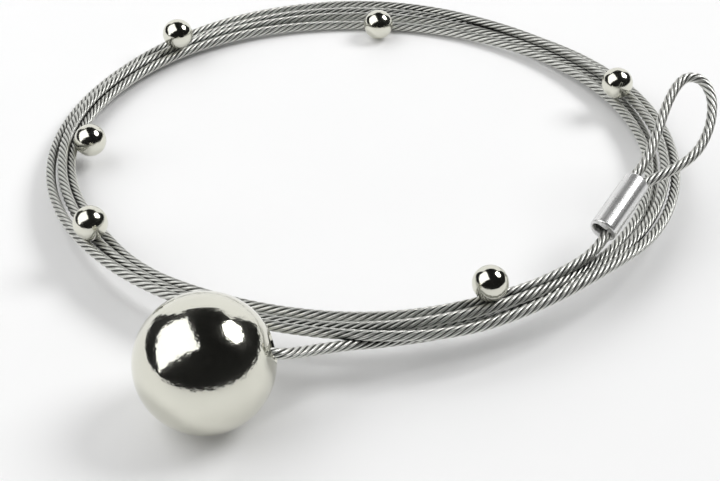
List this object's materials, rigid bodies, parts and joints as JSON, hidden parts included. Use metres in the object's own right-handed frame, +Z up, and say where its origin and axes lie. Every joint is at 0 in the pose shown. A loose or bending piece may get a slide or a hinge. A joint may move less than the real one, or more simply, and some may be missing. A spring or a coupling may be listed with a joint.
{
  "type": "magnetic photo rope",
  "caption": "Stainless wire rope laid up in a loose coil, with a drilled ball weight on one end, a crimped soft eye on the other and small ball magnets clinging to it",
  "frame": {"origin": "on the table, under the middle of the bounding box of the rigid pieces: the ball weight, its sleeve, the ferrule and the six magnets", "axes": "+Z is up from the table; the ball weight is at the front (-Y) and the magnets at the back of the coil are at +Y; the eye is on the right (+X)"},
  "size_m": [0.1011, 0.1134, 0.0184],
  "materials": {
    "polished_nickel": "polished nickel plate",
    "rope_steel": "bright drawn stainless wire",
    "ferrule_metal": "pressed, bright",
    "sleeve_metal": "pressed, plain"
  },
  "bodies": {
    "rope": {"weight_ball": "polished_nickel", "ball_sleeve": "sleeve_metal", "rope_lead": "rope_steel", "rope_coil": "rope_steel", "rope_eye": "rope_steel", "eye_ferrule": "ferrule_metal"},
    "magnet_1": {"magnet_1": "polished_nickel"},
    "magnet_2": {"magnet_2": "polished_nickel"},
    "magnet_3": {"magnet_3": "polished_nickel"},
    "magnet_4": {"magnet_4": "polished_nickel"},
    "magnet_5": {"magnet_5": "polished_nickel"},
    "magnet_6": {"magnet_6": "polished_nickel"}
  },
  "joints": [
    {"name": "magnet_1_pull", "type": "slide", "parent": "rope", "child": "magnet_1", "axis": [0, 0, 1], "range_m": [0, 0.03]},
    {"name": "magnet_2_pull", "type": "slide", "parent": "rope", "child": "magnet_2", "axis": [0, 0, 1], "range_m": [0, 0.03]},
    {"name": "magnet_3_pull", "type": "slide", "parent": "rope", "child": "magnet_3", "axis": [0, 0, 1], "range_m": [0, 0.03]},
    {"name": "magnet_4_pull", "type": "slide", "parent": "rope", "child": "magnet_4", "axis": [0, 0, 1], "range_m": [0, 0.03]},
    {"name": "magnet_5_pull", "type": "slide", "parent": "rope", "child": "magnet_5", "axis": [0, 0, 1], "range_m": [0, 0.03]},
    {"name": "magnet_6_pull", "type": "slide", "parent": "rope", "child": "magnet_6", "axis": [0, 0, 1], "range_m": [0, 0.03]}
  ]
}
